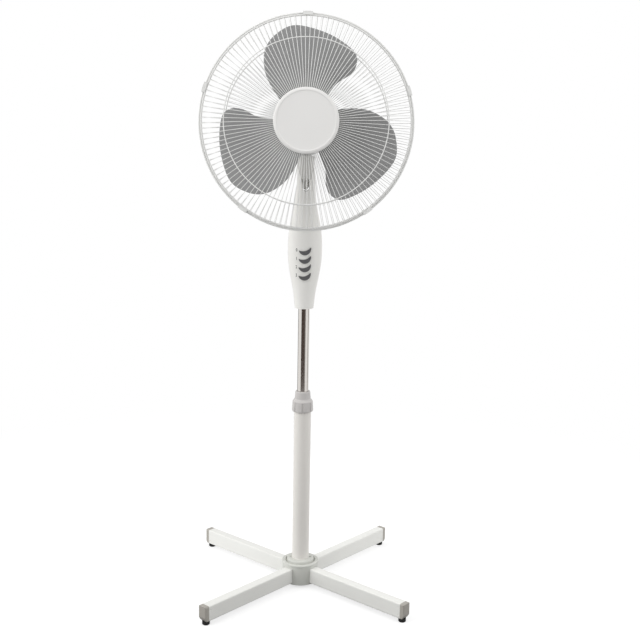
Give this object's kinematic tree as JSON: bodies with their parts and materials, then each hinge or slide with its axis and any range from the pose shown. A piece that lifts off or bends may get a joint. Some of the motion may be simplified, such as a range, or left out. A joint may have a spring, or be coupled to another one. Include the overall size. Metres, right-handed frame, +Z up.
{
  "type": "pedestal fan",
  "caption": "Free-standing pedestal fan with a cross base, telescopic pole, push-button control housing, tilting neck and a swivelling caged head.",
  "frame": {"origin": "on the floor, on the axis of the pole", "axes": "+Z up along the pole, -Y towards the fan's front, +X to the right as seen from the front"},
  "size_m": [0.4702, 0.4702, 1.2611],
  "materials": {
    "guard_paint": "satin white enamel on wire",
    "leg_paint": "satin white powder coat",
    "tube_paint": "satin white powder coat",
    "chrome": "polished",
    "housing_plastic": "fine satin, off-white",
    "badge_plastic": "fine satin, off-white",
    "lock_plastic": "fine satin, light grey",
    "hub_plastic": "fine satin, warm grey",
    "cap_plastic": "satin, warm grey",
    "neck_plastic": "fine satin, light grey",
    "motor_plastic": "fine satin, off-white",
    "button_plastic": "satin, dark grey",
    "blade_plastic": "translucent grey",
    "nylon": "natural nylon",
    "dark_plastic": "black moulding",
    "rubber": "matt black",
    "steel": "zinc plated",
    "casting": "as cast",
    "lamination": "stacked sheet",
    "winding": "enamelled copper wire",
    "bronze": "sintered bronze"
  },
  "bodies": {
    "stand": {"leg_rear_right": "leg_paint", "leg_rear_left": "leg_paint", "leg_front_left": "leg_paint", "leg_front_right": "leg_paint", "leg_cap_rear_right": "cap_plastic", "leg_cap_rear_left": "cap_plastic", "leg_cap_front_left": "cap_plastic", "leg_cap_front_right": "cap_plastic", "rubber_feet": "rubber", "base_hub": "hub_plastic", "leg_screws": "steel", "base_bolt": "steel", "tube_plug": "nylon", "outer_tube": "tube_paint", "collet": "nylon"},
    "lock": {"lock_nut": "lock_plastic"},
    "mast": {"inner_tube": "chrome", "tube_bush": "nylon", "control_housing": "housing_plastic", "housing_cover": "housing_plastic", "housing_screws": "steel", "tube_screw": "steel", "cord_gland": "rubber", "switch_block": "dark_plastic", "capacitor": "casting", "tilt_bolt": "steel", "tilt_nut": "steel", "tilt_washers": "nylon"},
    "button_0": {"button_0": "button_plastic"},
    "button_1": {"button_1": "button_plastic"},
    "button_2": {"button_2": "button_plastic"},
    "button_3": {"button_3": "button_plastic"},
    "neck": {"neck": "neck_plastic"},
    "head": {"swivel_bracket": "casting", "swivel_washer": "steel", "gearbox": "dark_plastic", "motor_front_end": "casting", "motor_rear_end": "casting", "stator": "lamination", "stator_coils": "winding", "shaft_bearings": "bronze", "motor_front_cover": "motor_plastic", "motor_rear_cover": "motor_plastic", "cover_screws": "steel", "rear_guard_wires": "guard_paint", "rear_guard_rings": "guard_paint", "front_guard_wires": "guard_paint", "front_guard_rings": "guard_paint", "rear_guard_plate": "steel", "guard_nut": "dark_plastic", "guard_badge": "badge_plastic", "guard_clips": "motor_plastic"},
    "knob": {"oscillation_knob": "dark_plastic"},
    "fan": {"motor_shaft": "steel", "rotor": "lamination", "fan_blades": "blade_plastic", "spinner_nut": "dark_plastic", "drive_pin": "steel"}
  },
  "joints": [
    {"name": "lock_turn", "type": "hinge", "parent": "stand", "child": "lock", "pos_m": [0, 0, 0.428], "axis": [0, 0, 1], "range_deg": [0, 180]},
    {"name": "height_slide", "type": "slide", "parent": "stand", "child": "mast", "axis": [0, 0, 1], "range_m": [-0.18, 0.09]},
    {"name": "tilt", "type": "hinge", "parent": "mast", "child": "neck", "pos_m": [0, 0, 0.911], "axis": [1, 0, 0], "range_deg": [-15, 20]},
    {"name": "oscillation", "type": "hinge", "parent": "neck", "child": "head", "pos_m": [0, 0.0113, 1.02946], "axis": [0, 0.095, 0.9955], "range_deg": [-40, 40]},
    {"name": "fan_spin", "type": "hinge", "parent": "head", "child": "fan", "pos_m": [0, 0.0113, 1.02946], "axis": [0, -0.9955, 0.095], "continuous": true},
    {"name": "oscillation_pull", "type": "slide", "parent": "head", "child": "knob", "axis": [0, 0.095, 0.9955], "range_m": [0, 0.008]},
    {"name": "press_0", "type": "slide", "parent": "mast", "child": "button_0", "axis": [0, 1, 0], "range_m": [0, 0.004], "stiffness_N_per_m": 400},
    {"name": "press_1", "type": "slide", "parent": "mast", "child": "button_1", "axis": [0, 1, 0], "range_m": [0, 0.004], "stiffness_N_per_m": 400},
    {"name": "press_2", "type": "slide", "parent": "mast", "child": "button_2", "axis": [0, 1, 0], "range_m": [0, 0.004], "stiffness_N_per_m": 400},
    {"name": "press_3", "type": "slide", "parent": "mast", "child": "button_3", "axis": [0, 1, 0], "range_m": [0, 0.004], "stiffness_N_per_m": 400}
  ]
}
